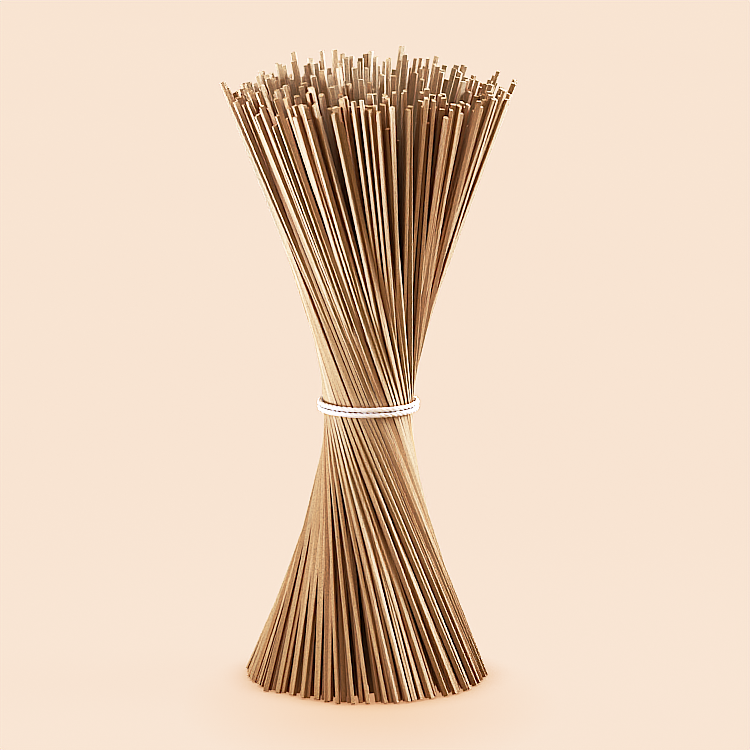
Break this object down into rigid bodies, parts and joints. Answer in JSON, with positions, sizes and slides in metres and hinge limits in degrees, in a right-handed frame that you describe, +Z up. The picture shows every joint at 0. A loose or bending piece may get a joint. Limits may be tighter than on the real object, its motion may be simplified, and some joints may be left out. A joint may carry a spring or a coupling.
{
  "type": "bundle of dried buckwheat noodles",
  "caption": "Free-standing bundle of straight dried buckwheat noodles, twisted into an hourglass and tied round its waist with white string.",
  "frame": {"origin": "on the floor, at the middle of the flat foot of the upright noodle in the bundle's middle", "axes": "+Z up along the bundle, -Y towards the viewer, the knot at the back on the +Y side"},
  "size_m": [0.0952, 0.093, 0.2198],
  "materials": {
    "buckwheat": "matte, finely specked dried buckwheat dough",
    "cotton": "soft twisted white cotton"
  },
  "bodies": {
    "root": {"noodles": "buckwheat", "string": "cotton"}
  },
  "joints": []
}
